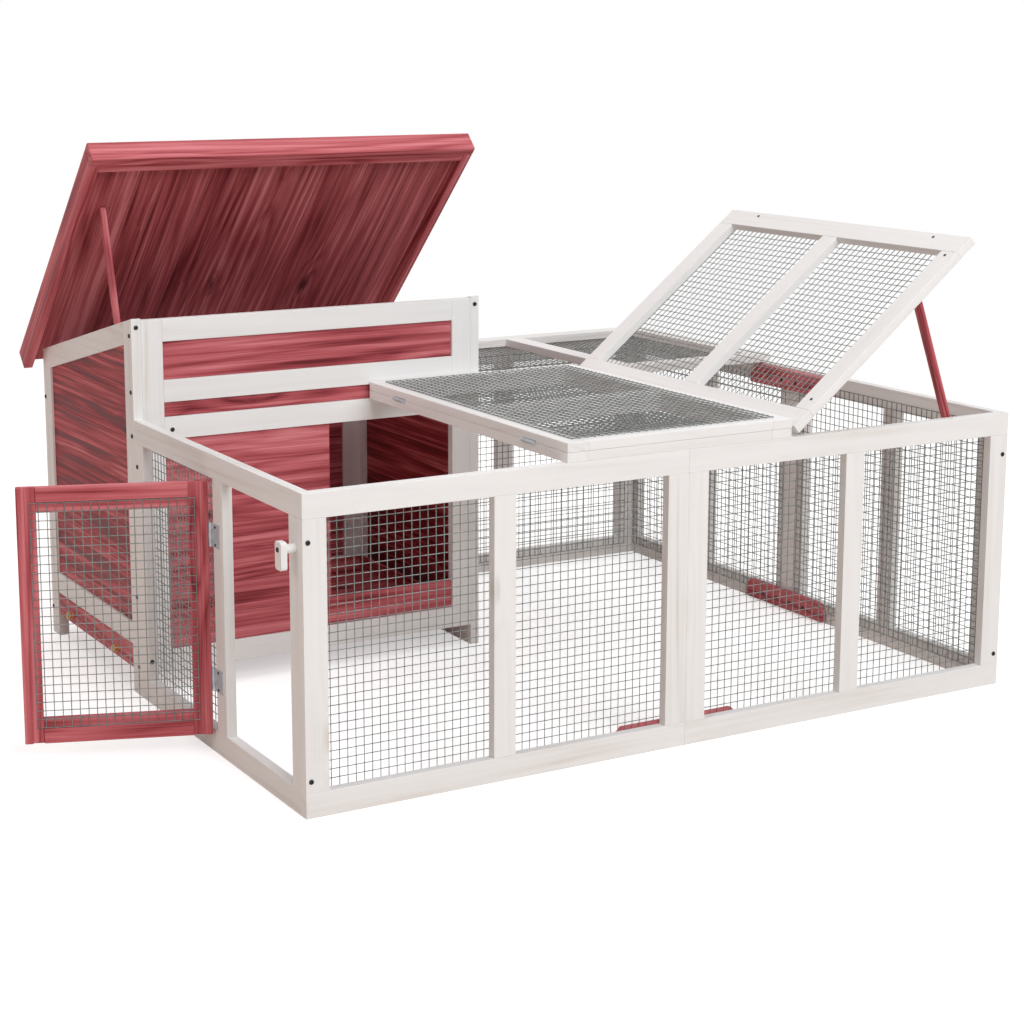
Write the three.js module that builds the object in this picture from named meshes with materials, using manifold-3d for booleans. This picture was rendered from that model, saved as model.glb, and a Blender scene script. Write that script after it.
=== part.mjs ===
// Rabbit hutch: a low netted run with three lids and a mesh door, and a boarded
// house at its back left corner with a lifting roof and a slide-out tray.
// Millimetres, +Z up, X from left to right, Y from front to back.

import * as THREE from 'three';
import { mergeVertices } from 'three/addons/utils/BufferGeometryUtils.js';
import Module from 'manifold-3d';

const wasm = await Module();
wasm.setup();

// Run
const runWidth = 1570;
const runHeight = 570;
const hutchDepth = 1348;
const battenWidth = 45;
const battenThickness = 20;
const cornerPostWidth = 35;
const doorwayPostPlace = 344;

// Nets
const netThickness = 2;
const netWire = 2.5;
const netPitch = 110;
const netOverlap = 20;

// Joining plates over the panel seams
const plateLength = 290;
const plateHeight = 45;
const plateThickness = 12;
const plateChamfer = 20;
const plateRise = 4;

// Lids
const lidThickness = 18;
const lidHouseGap = 3;
const foldingLidWidth = 500;
const lidRailWidth = 45;
const leftLidStart = 13.1;
const lidFoldGap = 0.3;
const lidHingeFrontInset = 132;
const lidHingeRearInset = 139;
const lidHingeLength = 45;
const lidOpening = 38.7;
const leftLidOpening = 180;

// Hinges
const knuckleRadius = 3;
const pinRadius = 1.4;
const hingeClearance = 0.3;
const leafThickness = 1.5;
const lidLeafReach = 5;

// Clearances between pieces
const seatGap = 0.3;
const boardGap = 0.3;
const cutOverrun = 1;

// Prop stay of the right lid
const lidStaySize = 14;
const lidStayLength = 279.6;
const lidStayReach = 387.7;
const lidStayBehindFront = 23;
const lidStayLean = 19.86;

// Door
const doorWidth = 343.2;
const doorHeight = 482;
const doorThickness = 15;
const doorStile = 35;
const doorRail = 48;
const doorFoot = 37;
const doorNetOverlap = 12;
const doorHingeEdge = 390.7;
const doorOpening = 109.6;
const doorHingeLength = 44;
const doorHingeHeights = [144, 420];
const doorLeafReach = 36.3;
const doorEdgeLeafReach = 13;

// Turn button
const buttonWidth = 26;
const buttonLength = 49.5;
const buttonThickness = 12;
const buttonCorner = 6;
const buttonPivotInset = 14;
const buttonPivotDepth = 30;
const buttonPivotHeight = 472;
const buttonBossRadius = 8;
const buttonGap = 0.5;

// House
const houseWidth = 785;
const houseDepth = 560;
const houseFrontHeight = 772;
const houseBackHeight = 642;
const houseSill = 45;
const houseBandHeight = 30;
const sideLowRail = 100;
const boardThickness = 10;
const doorwayLeft = 430;
const doorwaySill = 150;

// Tray
const trayRunnerWidth = 52;
const trayRunnerThickness = 12;
const trayRunnerFoot = 48;
const trayFrontThickness = 12;
const trayFrontInset = 2;
const trayFrontHeight = 50;
const traySideGap = 2;
const trayPanHeight = 36;
const trayPanFloor = 6;
const trayPanWall = 8;
const trayPanSideInset = 2;
const trayPanEnd = 750;
const knobRadius = 8.5;
const knobLength = 16;
const knobNeckRadius = 5;
const knobInset = 90;
const knobRise = 20;

// Roof
const roofOverhang = 38.6;
const roofFrontReach = 653;
const roofBackReach = 39;
const roofThickness = 24;
const roofApronDepth = 45;
const roofApronThickness = 20;
const roofLedgerSize = 20;
const roofBoardCount = 9;
const roofGrooveWidth = 4;
const roofGrooveDepth = 3;
const roofOpening = 31;
const roofHingeLength = 600;
const roofHingeKnuckles = 9;
const roofLeafReach = 30;

// Prop stay of the roof
const roofStaySize = 12;
const roofStayLength = 264.9;
const roofStayReach = 478.8;
const roofStayLean = 62.43;

const wallInner = battenThickness;
const houseFront = hutchDepth - houseDepth;
const lidDepth = houseFront - lidHouseGap;
const lidHingePlaces = [lidHingeFrontInset, lidDepth - lidHingeRearInset];
const frontPanelWidth = runWidth / 2;
const sidePanelLength = hutchDepth / 2;
const pinOffset = knuckleRadius + hingeClearance;
const roofSlope = Math.atan2(houseFrontHeight - houseBackHeight, houseDepth);

const paleWood = new THREE.MeshStandardMaterial({ color: 0xe9e4e0, roughness: 0.7, metalness: 0 });
const redWood = new THREE.MeshStandardMaterial({ color: 0xa5464b, roughness: 0.65, metalness: 0 });
const yellowWood = new THREE.MeshStandardMaterial({ color: 0xc9973f, roughness: 0.5, metalness: 0 });
const netSteel = new THREE.MeshStandardMaterial({ color: 0x7c8280, roughness: 0.45, metalness: 0.8 });
const hingeSteel = new THREE.MeshStandardMaterial({ color: 0xa9adb0, roughness: 0.35, metalness: 1 });

const axisX = new THREE.Vector3(1, 0, 0);
const axisY = new THREE.Vector3(0, 1, 0);
const axisZ = new THREE.Vector3(0, 0, 1);

function turned(x, y) {
  const z = new THREE.Vector3().crossVectors(x, y);
  return new THREE.Quaternion().setFromRotationMatrix(new THREE.Matrix4().makeBasis(x, y, z));
}

function reversed(axis) {
  return axis.clone().negate();
}

const hutch = new THREE.Group();

function addMesh(parent, name, geometry, material) {
  const mesh = new THREE.Mesh(geometry, material);
  mesh.name = name;
  parent.add(mesh);
  return mesh;
}

// A flat outline with holes, pushed out by its thickness. The outline lies in the
// X-Z plane (front), the Y-Z plane (side) or the X-Y plane (top), and the thickness
// runs from the given start towards +Y, +X or +Z.
function extruded(outline, from, to) {
  const shape = new THREE.Shape(outline.map(([u, v]) => new THREE.Vector2(u, v)));
  const geometry = new THREE.ExtrudeGeometry(shape, { depth: to - from, bevelEnabled: false });
  geometry.translate(0, 0, from);
  return toSolid(geometry);
}

function addPanel(parent, name, plane, start, thickness, outline, holes, material) {
  let solid = extruded(outline, 0, thickness);
  for (const hole of holes) {
    solid = solid.subtract(extruded(hole, -cutOverrun, thickness + cutOverrun));
  }
  const mesh = addMesh(parent, name, toGeometry(solid), material);
  if (plane === 'front') {
    mesh.quaternion.copy(turned(axisX, axisZ));
    mesh.position.y = start + thickness;
  }
  if (plane === 'side') {
    mesh.quaternion.copy(turned(axisY, axisZ));
    mesh.position.x = start;
  }
  if (plane === 'top') {
    mesh.position.z = start;
  }
  return mesh;
}

function rectangle(u0, v0, u1, v1) {
  return [[u0, v0], [u1, v0], [u1, v1], [u0, v1]];
}

// The bays between upright members that are given by their start and end places.
function baysBetween(members, low, high) {
  const bays = [];
  for (let i = 0; i + 1 < members.length; i += 1) {
    bays.push(rectangle(members[i][1], low, members[i + 1][0], high));
  }
  return bays;
}

function addFrame(parent, name, plane, start, thickness, members, low, high, rail, material) {
  const first = members[0][0];
  const last = members[members.length - 1][1];
  const bays = baysBetween(members, low + rail, high - rail);
  return addPanel(parent, name, plane, start, thickness, rectangle(first, low, last, high), bays, material);
}

// A welded net with square gaps, drawn at a wide pitch.
function addNet(parent, name, plane, start, u0, v0, u1, v1) {
  const columns = Math.max(1, Math.round((u1 - u0) / netPitch));
  const rows = Math.max(1, Math.round((v1 - v0) / netPitch));
  const stepU = (u1 - u0 - netWire) / columns;
  const stepV = (v1 - v0 - netWire) / rows;
  const gaps = [];
  for (let i = 0; i < columns; i += 1) {
    for (let j = 0; j < rows; j += 1) {
      const left = u0 + netWire + i * stepU;
      const bottom = v0 + netWire + j * stepV;
      gaps.push(rectangle(left, bottom, left + stepU - netWire, bottom + stepV - netWire));
    }
  }
  return addPanel(parent, name, plane, start, netThickness, rectangle(u0, v0, u1, v1), gaps, netSteel);
}

function toSolid(geometry) {
  const plain = geometry.clone();
  plain.deleteAttribute('normal');
  plain.deleteAttribute('uv');
  const merged = mergeVertices(plain);
  return new wasm.Manifold(new wasm.Mesh({
    numProp: 3,
    vertProperties: new Float32Array(merged.attributes.position.array),
    triVerts: new Uint32Array(merged.index.array),
  }));
}

function toGeometry(solid) {
  const mesh = solid.getMesh();
  const geometry = new THREE.BufferGeometry();
  geometry.setAttribute('position', new THREE.BufferAttribute(new Float32Array(mesh.vertProperties), 3));
  geometry.setIndex(new THREE.BufferAttribute(new Uint32Array(mesh.triVerts), 1));
  geometry.computeVertexNormals();
  return geometry;
}

function blockGeometry(x0, y0, z0, x1, y1, z1) {
  const geometry = new THREE.BoxGeometry(x1 - x0, y1 - y0, z1 - z0);
  geometry.translate((x0 + x1) / 2, (y0 + y1) / 2, (z0 + z1) / 2);
  return geometry;
}

function block(x0, y0, z0, x1, y1, z1) {
  return toSolid(blockGeometry(x0, y0, z0, x1, y1, z1));
}

function roundBar(radius, z0, z1) {
  const geometry = new THREE.CylinderGeometry(radius, radius, z1 - z0, 12);
  geometry.rotateX(Math.PI / 2);
  geometry.translate(0, 0, (z0 + z1) / 2);
  return toSolid(geometry);
}

// Half of a butt hinge with its pin on the local Z axis. The wood lies towards +X
// and the leaf runs from the pin towards -Y. The first half carries the pin.
function hingeHalf(length, knuckles, reach, carriesPin) {
  const pitch = length / knuckles;
  const half = length / 2;
  let solid = block(pinOffset - leafThickness, -reach, -half, pinOffset, 0, half);
  for (let i = 0; i < knuckles; i += 1) {
    const own = (i % 2 === 0) === carriesPin;
    const low = i * pitch - half;
    if (!own) {
      const clear = pinOffset + hingeClearance;
      const from = i === 0 ? low - cutOverrun : low - hingeClearance / 2;
      const to = i === knuckles - 1 ? low + pitch + cutOverrun : low + pitch + hingeClearance / 2;
      solid = solid.subtract(block(0, -clear, from, clear, cutOverrun, to));
    }
  }
  for (let i = 0; i < knuckles; i += 1) {
    const own = (i % 2 === 0) === carriesPin;
    const low = i * pitch - half;
    if (own) {
      const from = i === 0 ? low : low + hingeClearance / 2;
      const to = i === knuckles - 1 ? low + pitch : low + pitch - hingeClearance / 2;
      solid = solid.add(roundBar(knuckleRadius, from, to));
    }
  }
  if (carriesPin) {
    return toGeometry(solid.add(roundBar(pinRadius, -half, half)));
  }
  return toGeometry(solid.subtract(roundBar(pinRadius + hingeClearance, -half - cutOverrun, half + cutOverrun)));
}

function addHinge(parent, name, geometry, towardsWood, leafRun, x, y, z) {
  const mesh = addMesh(parent, name, geometry, hingeSteel);
  mesh.quaternion.copy(turned(towardsWood, reversed(leafRun)));
  mesh.position.set(x, y, z);
  return mesh;
}

// A flat bar with round ends, from the first point to the second one.
function barOutline(u0, v0, u1, v1, width) {
  const radius = width / 2;
  const direction = Math.atan2(v1 - v0, u1 - u0);
  const shape = new THREE.Shape();
  shape.absarc(u1, v1, radius, direction - Math.PI / 2, direction + Math.PI / 2, false);
  shape.absarc(u0, v0, radius, direction + Math.PI / 2, direction + Math.PI * 1.5, false);
  return shape.getPoints(6).slice(0, -1).map((point) => [point.x, point.y]);
}

// ---- Run panels ----

const railTop = runHeight - battenWidth;
const netLow = battenWidth - netOverlap;
const netHigh = railTop + netOverlap;
const runInnerRight = runWidth - battenThickness;

// Front: two panels side by side
for (const [index, side] of ['left', 'right'].entries()) {
  const from = index * frontPanelWidth;
  const to = from + frontPanelWidth;
  const middle = (from + to) / 2;
  const posts = [
    [from, from + battenWidth],
    [middle - battenWidth / 2, middle + battenWidth / 2],
    [to - battenWidth, to],
  ];
  addFrame(hutch, `run_front_${side}_frame`, 'front', 0, battenThickness, posts, 0, runHeight, battenWidth, paleWood);
  addNet(hutch, `run_front_${side}_net`, 'front', wallInner,
    from + battenWidth - netOverlap, netLow, to - battenWidth + netOverlap, netHigh);
}

// Right side: two panels one behind the other, butted against the front panel
for (const [index, place] of ['front', 'rear'].entries()) {
  const from = index * sidePanelLength;
  const to = from + sidePanelLength;
  const start = Math.max(from, wallInner);
  const middle = (from + to) / 2;
  const posts = [
    [start, start + battenWidth],
    [middle - battenWidth / 2, middle + battenWidth / 2],
    [to - battenWidth, to],
  ];
  addFrame(hutch, `run_side_${place}_frame`, 'side', runInnerRight, battenThickness, posts, 0, runHeight, battenWidth, paleWood);
  addNet(hutch, `run_side_${place}_net`, 'side', runInnerRight - netThickness,
    start + battenWidth - netOverlap, netLow, to - battenWidth + netOverlap, netHigh);
}

// Back of the run, from the house to the right side
const runBackMiddle = (houseWidth + runWidth) / 2;
const backPosts = [
  [houseWidth, houseWidth + battenWidth],
  [runBackMiddle - battenWidth / 2, runBackMiddle + battenWidth / 2],
  [runInnerRight - battenWidth, runInnerRight],
];
addFrame(hutch, 'run_back_frame', 'front', hutchDepth - battenThickness, battenThickness, backPosts,
  0, runHeight, battenWidth, paleWood);
addNet(hutch, 'run_back_net', 'front', hutchDepth - battenThickness - netThickness,
  houseWidth + battenWidth - netOverlap, netLow, runInnerRight - battenWidth + netOverlap, netHigh);

// Left side, from the front panel to the house: door opening, then a netted bay
const leftPosts = [
  [wallInner, wallInner + cornerPostWidth],
  [doorwayPostPlace, doorwayPostPlace + battenWidth],
  [houseFront - battenWidth, houseFront],
];
addFrame(hutch, 'run_left_frame', 'side', 0, battenThickness, leftPosts, 0, runHeight, battenWidth, paleWood);
addNet(hutch, 'run_left_net', 'side', wallInner,
  doorwayPostPlace + battenWidth - netOverlap, netLow, houseFront - battenWidth + netOverlap, netHigh);

// Roof panel over the back of the run
const roofPanelMembers = [
  [houseWidth, houseWidth + battenWidth],
  [runBackMiddle - battenWidth / 2, runBackMiddle + battenWidth / 2],
  [runWidth - battenWidth, runWidth],
];
addFrame(hutch, 'run_roof_frame', 'top', runHeight, lidThickness, roofPanelMembers,
  houseFront, hutchDepth, battenWidth, paleWood);
addNet(hutch, 'run_roof_net', 'top', runHeight - netThickness,
  houseWidth + battenWidth - netOverlap, houseFront + battenWidth - netOverlap,
  runWidth - battenWidth + netOverlap, hutchDepth - battenWidth + netOverlap);

// ---- Joining plates: a strip with its two upper corners cut off ----

function plateOutline(centre, low) {
  const half = plateLength / 2;
  const high = low + plateHeight;
  return [
    [centre - half, low],
    [centre + half, low],
    [centre + half, high - plateChamfer],
    [centre + half - plateChamfer, high],
    [centre - half + plateChamfer, high],
    [centre - half, high - plateChamfer],
  ];
}

addPanel(hutch, 'front_seam_plate', 'front', wallInner + netThickness, plateThickness,
  plateOutline(frontPanelWidth, plateRise), [], redWood);
const sidePlateStart = runInnerRight - netThickness - plateThickness;
addPanel(hutch, 'side_seam_plate_low', 'side', sidePlateStart, plateThickness,
  plateOutline(sidePanelLength, plateRise), [], redWood);
addPanel(hutch, 'side_seam_plate_high', 'side', sidePlateStart, plateThickness,
  plateOutline(sidePanelLength, runHeight - plateRise - plateHeight), [], redWood);

// ---- Lids ----

const lidTop = runHeight + lidThickness;
const lidPinHeight = lidTop + lidFoldGap / 2;
const leftPin = leftLidStart + foldingLidWidth + pinOffset + seatGap;
const middleLidStart = leftPin + pinOffset;
const middleLidEnd = middleLidStart + foldingLidWidth;
const rightPin = middleLidEnd + pinOffset;
const lidMiddle = lidDepth / 2;
const lidLow = -lidThickness - lidFoldGap / 2;

// A lid frame has an end rail on the left and right and three cross members.
function addLid(parent, name, from, to, low) {
  const cross = [
    [0, lidRailWidth],
    [lidMiddle - lidRailWidth / 2, lidMiddle + lidRailWidth / 2],
    [lidDepth - lidRailWidth, lidDepth],
  ];
  const holes = [];
  for (let i = 0; i + 1 < cross.length; i += 1) {
    holes.push(rectangle(from + lidRailWidth, cross[i][1], to - lidRailWidth, cross[i + 1][0]));
  }
  addPanel(parent, `${name}_frame`, 'top', low, lidThickness, rectangle(from, 0, to, lidDepth), holes, paleWood);
  addNet(parent, `${name}_net`, 'top', low - netThickness - seatGap,
    from + lidRailWidth - netOverlap, lidRailWidth - netOverlap,
    to - lidRailWidth + netOverlap, lidDepth - lidRailWidth + netOverlap);
}

addLid(hutch, 'middle_lid', middleLidStart, middleLidEnd, runHeight);

const leftLid = new THREE.Group();
leftLid.position.set(leftPin, 0, lidPinHeight);
leftLid.rotation.y = THREE.MathUtils.degToRad(leftLidOpening);
hutch.add(leftLid);
const leftLidEnd = -pinOffset - seatGap;
addLid(leftLid, 'left_lid', leftLidEnd - foldingLidWidth, leftLidEnd, lidLow);

const rightLid = new THREE.Group();
rightLid.position.set(rightPin, 0, lidPinHeight);
rightLid.rotation.y = -THREE.MathUtils.degToRad(lidOpening);
hutch.add(rightLid);
addLid(rightLid, 'right_lid', pinOffset + seatGap, runWidth - rightPin, lidLow);

const lidHingeFixed = hingeHalf(lidHingeLength, 3, lidLeafReach, true);
const lidHingeMoving = hingeHalf(lidHingeLength, 3, lidLeafReach, false);
for (const [index, place] of ['front', 'rear'].entries()) {
  const y = lidHingePlaces[index];
  const down = reversed(axisZ);
  addHinge(hutch, `left_lid_hinge_${place}_fixed`, lidHingeFixed, axisX, down, leftPin, y, lidPinHeight);
  addHinge(leftLid, `left_lid_hinge_${place}_moving`, lidHingeMoving, reversed(axisX), down, 0, y, 0);
  addHinge(hutch, `right_lid_hinge_${place}_fixed`, lidHingeFixed, reversed(axisX), down, rightPin, y, lidPinHeight);
  addHinge(rightLid, `right_lid_hinge_${place}_moving`, lidHingeMoving, axisX, down, 0, y, 0);
}

// Prop stay of the right lid. Its upper end turns under the front member of the lid
// and its foot stands behind the front rail.
const lidStayDrop = lidLow - netThickness - seatGap * 2 - lidStaySize / 2;
const lidStayAngle = THREE.MathUtils.degToRad(lidStayLean - lidOpening) - Math.PI / 2;
const lidStay = new THREE.Group();
lidStay.position.set(lidStayReach, 0, lidStayDrop);
rightLid.add(lidStay);
addPanel(lidStay, 'right_lid_stay', 'front', lidStayBehindFront, lidStaySize,
  barOutline(0, 0, lidStayLength * Math.cos(lidStayAngle), lidStayLength * Math.sin(lidStayAngle), lidStaySize),
  [], redWood);

// ---- Door ----

const doorTop = doorFoot + doorHeight;
const doorPinY = doorHingeEdge + pinOffset + seatGap;
const doorNetOuter = leafThickness + hingeClearance + netThickness + seatGap;
const door = new THREE.Group();
door.position.set(-pinOffset, doorPinY, 0);
door.rotation.z = -THREE.MathUtils.degToRad(doorOpening);
hutch.add(door);
const doorNear = doorHingeEdge - doorWidth - doorPinY;
const doorFar = doorHingeEdge - doorPinY;
const doorInnerFace = pinOffset - doorNetOuter;
addFrame(door, 'door_frame', 'side', doorInnerFace - doorThickness, doorThickness,
  [[doorNear, doorNear + doorStile], [doorFar - doorStile, doorFar]], doorFoot, doorTop, doorRail, redWood);
addNet(door, 'door_net', 'side', doorInnerFace + seatGap,
  doorNear + doorStile - doorNetOverlap, doorFoot + doorRail - doorNetOverlap,
  doorFar - doorStile + doorNetOverlap, doorTop - doorRail + doorNetOverlap);

const doorHingeFixed = hingeHalf(doorHingeLength, 3, doorLeafReach, true);
const doorHingeMoving = hingeHalf(doorHingeLength, 3, doorEdgeLeafReach, false);
for (const [index, place] of ['low', 'high'].entries()) {
  const z = doorHingeHeights[index];
  addHinge(hutch, `door_hinge_${place}_fixed`, doorHingeFixed, axisX, reversed(axisY), -pinOffset, doorPinY, z);
  addHinge(door, `door_hinge_${place}_moving`, doorHingeMoving, reversed(axisY), reversed(axisX), 0, 0, z);
}

// Turn button: a rounded bar on a round boss that lifts it clear of the closed door
const buttonSeat = doorInnerFace - doorThickness - pinOffset - buttonGap;
const buttonTop = buttonPivotInset;
const buttonFoot = buttonPivotInset - buttonLength;
const halfButton = buttonWidth / 2;
const buttonShape = new THREE.Shape();
buttonShape.moveTo(-halfButton + buttonCorner, buttonFoot);
buttonShape.lineTo(halfButton - buttonCorner, buttonFoot);
buttonShape.absarc(halfButton - buttonCorner, buttonFoot + buttonCorner, buttonCorner, -Math.PI / 2, 0, false);
buttonShape.absarc(halfButton - buttonCorner, buttonTop - buttonCorner, buttonCorner, 0, Math.PI / 2, false);
buttonShape.absarc(-halfButton + buttonCorner, buttonTop - buttonCorner, buttonCorner, Math.PI / 2, Math.PI, false);
buttonShape.absarc(-halfButton + buttonCorner, buttonFoot + buttonCorner, buttonCorner, Math.PI, Math.PI * 1.5, false);
const buttonBar = new THREE.ExtrudeGeometry(buttonShape, { depth: buttonThickness, bevelEnabled: false, curveSegments: 4 });
buttonBar.translate(0, 0, buttonSeat - buttonThickness);
const buttonBoss = roundBar(buttonBossRadius, buttonSeat - buttonThickness / 2, 0);
const button = addMesh(hutch, 'turn_button', toGeometry(toSolid(buttonBar).add(buttonBoss)), paleWood);
button.quaternion.copy(turned(axisY, axisZ));
button.position.set(0, buttonPivotDepth, buttonPivotHeight);

// ---- House ----

const rise = (houseFrontHeight - houseBackHeight) / houseDepth;
const slopeAt = (y) => houseBackHeight + (hutchDepth - y) * rise;
const sideRailDrop = battenWidth / Math.cos(roofSlope);
const sidePostFront = houseFront + battenWidth;
const sidePostBack = hutchDepth - battenWidth;

function sideOpening(low, gap) {
  return [
    [sidePostFront + gap, low + gap],
    [sidePostBack - gap, low + gap],
    [sidePostBack - gap, slopeAt(sidePostBack - gap) - sideRailDrop - gap],
    [sidePostFront + gap, slopeAt(sidePostFront + gap) - sideRailDrop - gap],
  ];
}

const boardInset = (battenThickness - boardThickness) / 2;
const sideLowRailTop = sideLowRail + battenWidth;

// Left side, open below its low rail for the tray
addPanel(hutch, 'house_left_frame', 'side', 0, battenThickness, [
  [houseFront, 0],
  [sidePostFront, 0],
  [sidePostFront, sideLowRail],
  [sidePostBack, sideLowRail],
  [sidePostBack, 0],
  [hutchDepth, 0],
  [hutchDepth, houseBackHeight],
  [houseFront, houseFrontHeight],
], [sideOpening(sideLowRailTop, 0)], paleWood);
addPanel(hutch, 'house_left_boards', 'side', boardInset, boardThickness, sideOpening(sideLowRailTop, boardGap), [], redWood);

// Right side, boarded down to a rail on the ground
const houseRight = houseWidth - battenThickness;
addPanel(hutch, 'house_right_frame', 'side', houseRight, battenThickness, [
  [houseFront, 0],
  [hutchDepth, 0],
  [hutchDepth, houseBackHeight],
  [houseFront, houseFrontHeight],
], [sideOpening(battenWidth, 0)], paleWood);
addPanel(hutch, 'house_right_boards', 'side', houseRight + boardInset, boardThickness, sideOpening(battenWidth, boardGap), [], redWood);

// Front, between the two sides
const houseLeftStile = wallInner + battenWidth;
const houseRightStile = houseRight - battenWidth;
const houseFrontTop = slopeAt(houseFront + battenThickness);
const houseMidRail = railTop;
const houseMidTop = houseMidRail + battenWidth;
const houseUpperRail = houseMidTop + houseBandHeight;
const houseUpperTop = houseUpperRail + battenWidth;
const houseWallLow = houseSill + battenWidth;
addPanel(hutch, 'house_front_frame', 'front', houseFront, battenThickness,
  rectangle(wallInner, houseSill, houseRight, houseFrontTop), [
    rectangle(houseLeftStile, houseWallLow, houseRightStile, houseMidRail),
    rectangle(houseLeftStile, houseMidTop, houseRightStile, houseUpperRail),
    rectangle(houseLeftStile, houseUpperTop, houseRightStile, houseFrontTop - battenWidth),
  ], paleWood);

function frontBoard(name, low, high) {
  addPanel(hutch, name, 'front', houseFront + boardInset, boardThickness,
    rectangle(houseLeftStile + boardGap, low + boardGap, houseRightStile - boardGap, high - boardGap), [], redWood);
}

frontBoard('house_front_top_board', houseUpperTop, houseFrontTop - battenWidth);
frontBoard('house_front_mid_board', houseMidTop, houseUpperRail);
addPanel(hutch, 'house_front_wall', 'front', houseFront + boardInset, boardThickness, [
  [houseLeftStile + boardGap, houseWallLow + boardGap],
  [houseRightStile - boardGap, houseWallLow + boardGap],
  [houseRightStile - boardGap, doorwaySill],
  [doorwayLeft, doorwaySill],
  [doorwayLeft, houseMidRail - boardGap],
  [houseLeftStile + boardGap, houseMidRail - boardGap],
], [], redWood);

// Back, between the two sides
const houseBackInner = hutchDepth - battenThickness;
addPanel(hutch, 'house_back_frame', 'front', houseBackInner, battenThickness,
  rectangle(wallInner, houseSill, houseRight, houseBackHeight), [
    rectangle(houseLeftStile, houseWallLow, houseRightStile, houseBackHeight - battenWidth),
  ], paleWood);
addPanel(hutch, 'house_back_boards', 'front', houseBackInner + boardInset, boardThickness,
  rectangle(houseLeftStile + boardGap, houseWallLow + boardGap,
    houseRightStile - boardGap, houseBackHeight - battenWidth - boardGap), [], redWood);

// ---- Tray and its runners ----

const runnerTop = trayRunnerFoot + trayRunnerThickness;
const houseInnerFront = houseFront + battenThickness;
addMesh(hutch, 'tray_runner_front', blockGeometry(wallInner, houseInnerFront, trayRunnerFoot,
  houseRight, houseInnerFront + trayRunnerWidth, runnerTop), redWood);
addMesh(hutch, 'tray_runner_rear', blockGeometry(wallInner, houseBackInner - trayRunnerWidth, trayRunnerFoot,
  houseRight, houseBackInner, runnerTop), redWood);

const tray = new THREE.Group();
hutch.add(tray);
const trayFrontFace = trayFrontInset;
const trayFrontBack = trayFrontInset + trayFrontThickness;
const trayNear = sidePostFront + traySideGap;
const trayFar = sidePostBack - traySideGap;
addMesh(tray, 'tray_front', blockGeometry(trayFrontFace, trayNear, trayRunnerFoot,
  trayFrontBack, trayFar, trayRunnerFoot + trayFrontHeight), redWood);
const panLow = runnerTop + seatGap;
const panTop = panLow + trayPanHeight;
const panNear = trayNear + trayPanSideInset;
const panFar = trayFar - trayPanSideInset;
const panOuter = block(trayFrontBack, panNear, panLow, trayPanEnd, panFar, panTop);
const panInner = block(trayFrontBack + trayPanWall, panNear + trayPanWall, panLow + trayPanFloor,
  trayPanEnd - trayPanWall, panFar - trayPanWall, panTop + cutOverrun);
addMesh(tray, 'tray_pan', toGeometry(panOuter.subtract(panInner)), redWood);

const knobProfile = [
  new THREE.Vector2(0, 0),
  new THREE.Vector2(knobNeckRadius, 0),
  new THREE.Vector2(knobNeckRadius, knobLength / 4),
  new THREE.Vector2(knobRadius, knobLength / 2),
  new THREE.Vector2(knobRadius, knobLength * 3 / 4),
  new THREE.Vector2(knobNeckRadius, knobLength),
  new THREE.Vector2(0, knobLength),
];
for (const [place, y] of [['front', trayNear + knobInset], ['rear', trayFar - knobInset]]) {
  const knob = addMesh(tray, `tray_knob_${place}`, new THREE.LatheGeometry(knobProfile, 16), yellowWood);
  knob.rotation.z = Math.PI / 2;
  knob.position.set(trayFrontFace, y, trayRunnerFoot + knobRise);
}

// ---- Roof: boards with an apron on three sides, hinged behind the back frame ----

const roofPinY = hutchDepth + pinOffset;
const roofPinZ = slopeAt(roofPinY) - pinOffset / Math.cos(roofSlope);
const roof = new THREE.Group();
roof.position.set(0, roofPinY, roofPinZ);
roof.rotation.x = -(roofSlope + THREE.MathUtils.degToRad(roofOpening));
hutch.add(roof);

const roofLeft = -roofOverhang;
const roofRight = houseWidth + roofOverhang;
const roofUnder = pinOffset + seatGap;
const roofTop = roofUnder + roofThickness;
const boardsLeft = roofLeft + roofApronThickness + boardGap;
const boardsRight = roofRight - roofApronThickness - boardGap;
const boardsFront = -roofFrontReach + roofApronThickness + boardGap;
const roofBoardWidth = (boardsRight - boardsLeft) / roofBoardCount;

const roofOutline = [[boardsLeft, roofUnder]];
for (let i = 1; i < roofBoardCount; i += 1) {
  const joint = boardsLeft + i * roofBoardWidth;
  roofOutline.push([joint - roofGrooveWidth / 2, roofUnder]);
  roofOutline.push([joint, roofUnder + roofGrooveDepth]);
  roofOutline.push([joint + roofGrooveWidth / 2, roofUnder]);
}
roofOutline.push([boardsRight, roofUnder], [boardsRight, roofTop]);
for (let i = roofBoardCount - 1; i > 0; i -= 1) {
  const joint = boardsLeft + i * roofBoardWidth;
  roofOutline.push([joint + roofGrooveWidth / 2, roofTop]);
  roofOutline.push([joint, roofTop - roofGrooveDepth]);
  roofOutline.push([joint - roofGrooveWidth / 2, roofTop]);
}
roofOutline.push([boardsLeft, roofTop]);
addPanel(roof, 'roof_boards', 'front', boardsFront, roofBackReach - boardsFront, roofOutline, [], redWood);

const apronLow = roofTop - roofApronDepth;
const apronInnerFront = -roofFrontReach + roofApronThickness;
const ledgerTop = roofUnder - boardGap;
const roofApron = block(roofLeft, -roofFrontReach, apronLow, roofRight, apronInnerFront, roofTop)
  .add(block(roofLeft, -roofFrontReach, apronLow, roofLeft + roofApronThickness, roofBackReach, roofTop))
  .add(block(roofRight - roofApronThickness, -roofFrontReach, apronLow, roofRight, roofBackReach, roofTop))
  .add(block(roofLeft + roofApronThickness / 2, apronInnerFront - roofApronThickness / 2, ledgerTop - roofLedgerSize,
    roofRight - roofApronThickness / 2, apronInnerFront + roofLedgerSize, ledgerTop));
addMesh(roof, 'roof_apron', toGeometry(roofApron), redWood);

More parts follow.
